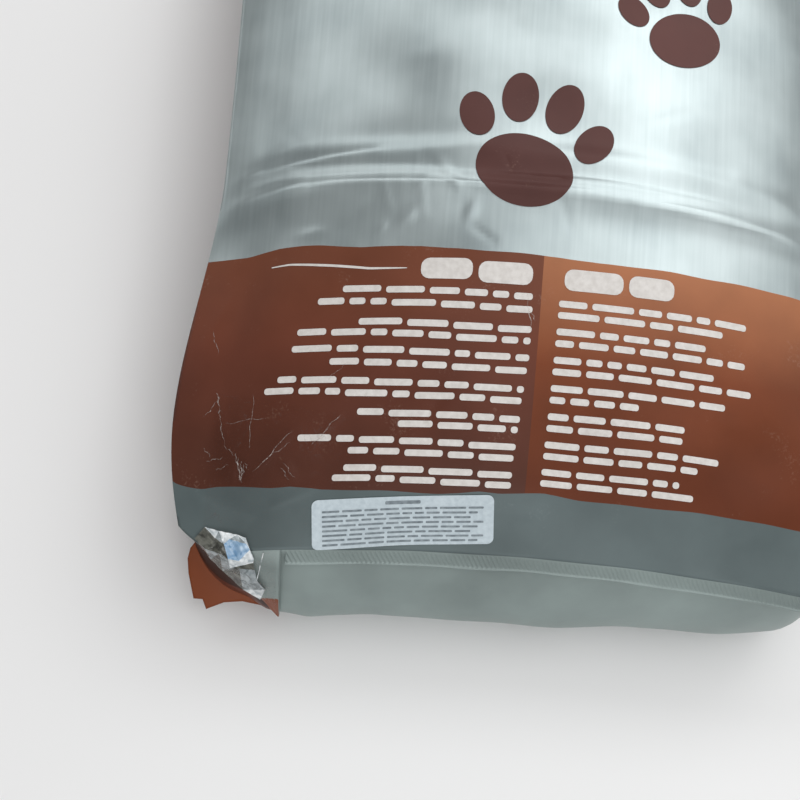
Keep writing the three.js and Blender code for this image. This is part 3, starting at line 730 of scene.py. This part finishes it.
# A patch of the label, u along it and v up it from its middle
def label_patch(u0, u1, v0, v1, radius, lift, slot, steps, rows):
    us, half = round_ends(u0, u1, v1 - v0, radius, 6, steps)
    side = np.linspace(-1, 1, rows)[:, None]
    u, v = us[None] + 0 * side, (v0 + v1) / 2 + side * half[None]
    x = LABEL_X + u * math.cos(LABEL_TURN) - v * math.sin(LABEL_TURN)
    t = LABEL_UP + u * math.sin(LABEL_TURN) + v * math.cos(LABEL_TURN)
    return grid_faces(off_panel(x, t, lift), slot)


half_u, half_v = LABEL_WIDTH / 2, LABEL_HEIGHT / 2
label_parts = [label_patch(-half_u, half_u, -half_v, half_v, LABEL_RADIUS, LABEL_LIFT, 0, 70, 22)]
face = label_parts[0][0].reshape(22, -1, 3)
rim = np.concatenate([face[0], face[1:, -1], face[-1, ::-1][1:], face[::-1, 0][1:]])
label_parts.append(grid_faces(np.stack([rim - [0, 0, 0.5], rim]), 0))
for k in range(8):
    u, v, row_end = -27.5, 4.6 - LABEL_PITCH * k, 27.5 - (k % 3) * 2
    while u < row_end - 2:
        stop = min(row_end, u + bar_lengths.uniform(3, 9))
        low_v, high_v = v - LABEL_BAR / 2, v + LABEL_BAR / 2
        label_parts.append(label_patch(u, stop, low_v, high_v, 0.25, LABEL_INK_LIFT, 1, 8, 4))
        u = stop + 0.9
label_parts.append(label_patch(-6, 6, 6.3, 7.5, 0.4, LABEL_INK_LIFT, 1, 8, 4))
label = add_piece("paper_label", label_parts, [paper, thermal_grey], weld=False)
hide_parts("label")

# The repair tape: clear packing tape pressed over the damaged corner, down the panel and over the folded ear.
# It lies flat on the panel, and is crinkled and crumpled with trapped air where it wraps the ear.
TAPE_WIDTH = 50
TAPE_LEFT = -108.5
TAPE_LENGTH = 47
TAPE_SLANT = 9
TAPE_LIFT = 0.25
WRAP_LIFT = 0.8
TAPE_LOW = 1.2
BESIDE_LABEL = -73.4
LOW_BESIDE_LABEL = 22


# Clear polypropylene tape: next to nothing but a shine, with fine white lines where it is crinkled or scuffed
def clear_film(name, faint, lines_alpha, swirl_size, seen):
    look, tree, shader = new_material(name, Roughness=0.12, Specular_IOR_Level=0.15)
    place = add_node(tree, "ShaderNodeTexCoord").outputs["Object"]
    swirls = {"Scale": per_metre(swirl_size), "Detail": 3, "Distortion": 1.5}
    swirl = add_node(tree, "ShaderNodeTexNoise", swirls, {"Vector": place}).outputs["Fac"]
    off = add_node(tree, "ShaderNodeMath", {"operation": "SUBTRACT", 1: 0.5}, {0: swirl}).outputs[0]
    near = add_node(tree, "ShaderNodeMath", {"operation": "ABSOLUTE"}, {0: off}).outputs[0]
    fine = {"From Max": 0.012, "To Min": lines_alpha, "To Max": 0.0}
    vein = add_node(tree, "ShaderNodeMapRange", fine, {"Value": near}).outputs["Result"]
    areas = {"Scale": per_metre(16.7), "Detail": 2}
    spread = add_node(tree, "ShaderNodeTexNoise", areas, {"Vector": place}).outputs["Fac"]
    from_here = {"From Min": seen, "From Max": seen + 0.15}
    where = add_node(tree, "ShaderNodeMapRange", from_here, {"Value": spread}).outputs["Result"]
    veiled = {0: vein, 1: where}
    scuffs = add_node(tree, "ShaderNodeMath", {"operation": "MULTIPLY_ADD", 2: faint}, veiled).outputs[0]
    tree.links.new(scuffs, shader.inputs["Alpha"])
    tints = {"data_type": "RGBA", 6: colour("#552810"), 7: colour("#d3d9db")}
    white = add_node(tree, "ShaderNodeMix", tints, {0: vein}).outputs[2]
    tree.links.new(white, shader.inputs["Base Color"])
    return look


# Crumpled tape with air under it: each facet throws back or lets through something else, such as glare, sky,
# the shadow in the fold or the film
def glare(name, low, high, see):
    look, tree, shader = new_material(name, Roughness=0.14, Specular_IOR_Level=0.6, Alpha=see)
    place = add_node(tree, "ShaderNodeTexCoord").outputs["Object"]
    bubbles = {"Scale": per_metre(3.125), "Detail": 4, "Distortion": 1.0}
    air = add_node(tree, "ShaderNodeTexNoise", bubbles, {"Vector": place}).outputs["Fac"]
    tones = {"stops": [(0.36, low), (0.64, high)]}
    tone = add_node(tree, "ShaderNodeValToRGB", tones, {"Fac": air}).outputs["Color"]
    tree.links.new(tone, shader.inputs["Base Color"])
    bump = add_node(tree, "ShaderNodeBump", {"Strength": 0.5, "Distance": 0.0005}, {"Height": air})
    tree.links.new(bump.outputs["Normal"], shader.inputs["Normal"])
    return look


tape_looks = [
    clear_film("clear tape", 0.02, 0.3, 9.1, 0.56),
    clear_film("crinkled clear tape", 0.05, 0.6, 6.67, 0.45),
    glare("crumpled tape in glare", "#aeb9be", "#f4f7f8", 0.95),
    glare("crumpled tape with sky in it", "#7098bd", "#b0cae0", 0.95),
    glare("crumpled tape over shadow", "#2f2f2a", "#6f7068", 0.9),
    glare("crumpled tape over film", "#727c7f", "#bcc5c9", 0.8),
]
CLEAR, CRINKLED, GLARE, SKY, SHADOW, SILVER = range(6)

# Flat on the panel, cut back beside the label
TV, TU = np.meshgrid(np.linspace(0, 1, 70), np.linspace(0, 1, 64), indexing="ij")
tape_x = TAPE_LEFT + TAPE_WIDTH * TU
tape_end = TAPE_LENGTH + TAPE_SLANT * (1 - TU)
tape_low = np.where(tape_x > BESIDE_LABEL, LOW_BESIDE_LABEL, TAPE_LOW)
tape_parts = [grid_faces(off_panel(tape_x, tape_low + (tape_end - tape_low) * TV, TAPE_LIFT), CLEAR)]

# Crinkled where it wraps the ear
WV, WU = np.meshgrid(np.linspace(0.74, 0, 70), np.linspace(0.04, 0.96, 60), indexing="ij")
wrap = ear(WV, WU)
wrap_out = grid_normals(wrap, 1, 0)
crinkle = np.random.default_rng(3)
rumple = 0 * WV
for _ in range(34):
    a0, b0 = crinkle.uniform(0, 1), crinkle.uniform(0, 1)
    turn, long = crinkle.uniform(0, math.pi), crinkle.uniform(0.15, 0.5)
    a1, b1 = a0 + long * math.sin(turn), b0 + long * math.cos(turn)
    wide, tall = crinkle.uniform(0.06, 0.16), crinkle.uniform(-0.7, 1.1)
    rumple = rumple + crease(WU, WV, b0, a0, b1, a1, wide, tall)
wrap = wrap + (WRAP_LIFT + 0.5 * rumple)[..., None] * wrap_out
tape_parts.append(grid_faces(wrap, CRINKLED))

# Crumpled at the corner, in flat facets: points of the crumple, then the points and look of each facet
CRUMPLE = np.array([
    (-110.8, 5.8, 50.2), (-107.8, 10, 50.3), (-102.8, 8.9, 51.2), (-96.4, 8, 51.9), (-93.4, 7.1, 51.8),
    (-91.6, 3.2, 51.4), (-90.1, 0.5, 49.2), (-90.3, -0.6, 47.6), (-98.3, -2.5, 44.1), (-101.2, -2.6, 36.2),
    (-105.6, 0.6, 40), (-100.6, 4.3, 52), (-98.9, 6.2, 52.2), (-93, 4.9, 52.7), (-95.1, -0.5, 49.2),
    (-98.8, -0.2, 49.2), (-103.8, 6.3, 50.9), (-95.1, -2.3, 44.7), (-89.6, -2.7, 45.7), (-88.7, -5.8, 41.9),
    (-94.1, -7.6, 30), (-87.7, -10.6, 28.7), (-85.9, -8.1, 37.2), (-87.2, 2.6, 50.6), (-86.85, 2.6, 50.6),
    (-88.95, -5.8, 41.9), (-107, 2.6, 49.6), (-102, 1.4, 49.9),
])
FACETS = {
    GLARE: [
        (1, 2, 16), (2, 3, 12), (2, 12, 11), (3, 4, 13), (4, 5, 13), (15, 14, 8), (14, 5, 6), (14, 6, 7),
        (14, 7, 8), (20, 22, 21), (23, 24, 19), (23, 19, 25),
    ],
    SKY: [(11, 12, 15), (12, 13, 14), (12, 14, 15), (13, 5, 14)],
    SHADOW: [
        (0, 1, 16), (0, 16, 26), (0, 26, 10), (16, 11, 27), (16, 27, 26), (27, 11, 15), (10, 27, 9),
        (8, 7, 18), (9, 17, 20),
    ],
    SILVER: [
        (2, 11, 16), (3, 13, 12), (26, 27, 10), (27, 15, 9), (9, 15, 8), (8, 18, 17), (9, 8, 17),
        (17, 18, 19), (17, 19, 20), (20, 19, 22),
    ],
}
SPLITS = 8
for slot, facets in FACETS.items():
    for i, j, k in facets:
        p, q, r = CRUMPLE[[i, j, k]]
        pairs = [(m, h) for m in range(SPLITS + 1) for h in range(SPLITS + 1 - m)]
        spots = np.array([p + (q - p) * (m / SPLITS) + (r - p) * (h / SPLITS) for m, h in pairs])
        quiver = np.sin(2.3 * spots[:, 0] + 1.1 * spots[:, 1])
        quiver = 0.25 * quiver * np.sin(1.9 * spots[:, 1] - 1.3 * spots[:, 2] + 0.7 * spots[:, 0])
        spots = spots + quiver[:, None] * np.array([0, -0.5, 0.87])
        at = {pair: place for place, pair in enumerate(pairs)}
        small = [(at[m, h], at[m + 1, h], at[m, h + 1]) for m, h in pairs if m + h < SPLITS]
        small += [(at[m + 1, h], at[m + 1, h + 1], at[m, h + 1]) for m, h in pairs if m + h < SPLITS - 1]
        tape_parts.append((spots, small, [slot] * len(small)))
tape = add_piece("repair_tape_film", tape_parts, tape_looks, weld=False)
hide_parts("repair_tape")

# The floor: a plain pale sheet of matt board for the bag to lie on.
# It only takes the shadow, and is no part of the object.
board, tree, shader = new_material("pale matt board", Roughness=0.8)
shader.inputs["Base Color"].default_value = colour("#eeeeee")
floor_mesh = bpy.data.meshes.new("floor")
FLOOR_REACH = 4
FLOOR_DROP = 0.0005
floor_corners = [
    (x * FLOOR_REACH, y * FLOOR_REACH, -FLOOR_DROP) for x, y in ((-1, -1), (1, -1), (1, 1), (-1, 1))
]
floor_mesh.from_pydata(floor_corners, [], [(0, 1, 2, 3)])
floor_mesh.materials.append(board)
floor = bpy.data.objects.new("floor", floor_mesh)
bpy.context.scene.collection.objects.link(floor)


# Light: a soft window-like key from the right, a fill from the base end, a soft lamp overhead, and a long
# strip past the far end, which the ridges of the film throw back. The surroundings are pale.
def area_light(name, at, look_at, wide, tall, watts):
    lamp = bpy.data.lights.new(name, "AREA")
    lamp.shape, lamp.size, lamp.size_y, lamp.energy = "RECTANGLE", wide, tall, watts
    holder = bpy.data.objects.new(name, lamp)
    holder.location = at
    holder.rotation_euler = (Vector(look_at) - Vector(at)).to_track_quat("-Z", "Y").to_euler()
    bpy.context.scene.collection.objects.link(holder)


area_light("key", (0.9, 0.5, 1.0), (0, 0, 0.05), 1.6, 1.4, 8)
area_light("fill", (0.1, -1.2, 0.9), (0, -0.1, 0.05), 1.0, 0.8, 6)
area_light("overhead", (0.35, 0.0, 1.4), (0, 0, 0.05), 1.3, 1.0, 5)
area_light("strip", (-0.6, 0.9, 1.15), (-0.6, 0, 0.05), 3.6, 0.45, 8.5)
world = bpy.data.worlds.new("surroundings")
world.use_nodes = True
world.node_tree.nodes["Background"].inputs["Color"].default_value = (1, 1, 1, 1)
world.node_tree.nodes["Background"].inputs["Strength"].default_value = 0.3
bpy.context.scene.world = world
bpy.context.scene.view_settings.view_transform = "Standard"

# Camera: held over the lower left of the back panel and rolled, as a close hand-held shot of the corner.
# It aims at a point that is measured in mm from the middle of the base seam.
CAMERA_AIM = (-44.7, 58, 60)
CAMERA_DISTANCE = 0.4845
azimuth, elevation, roll = math.radians(-7.6), math.radians(74.4), math.radians(12.1)
level = Vector((math.cos(azimuth), math.sin(azimuth), 0))
ahead = Vector((math.sin(azimuth), -math.cos(azimuth), 0))
back = ahead * math.cos(elevation) + Vector((0, 0, math.sin(elevation)))
upright = back.cross(level)
right = level * math.cos(roll) + upright * math.sin(roll)
up = upright * math.cos(roll) - level * math.sin(roll)
aim = (Vector(CAMERA_AIM) + Vector((0, SEAM_Y, 0))) * 0.001
camera = bpy.data.objects.new("camera", bpy.data.cameras.new("camera"))
camera.data.sensor_width = 36
camera.data.lens = 63
camera.data.clip_start = 0.01
turned = Matrix((right, up, back)).transposed().to_4x4()
camera.matrix_world = Matrix.Translation(aim + back * CAMERA_DISTANCE) @ turned
bpy.context.scene.collection.objects.link(camera)
bpy.context.scene.camera = camera
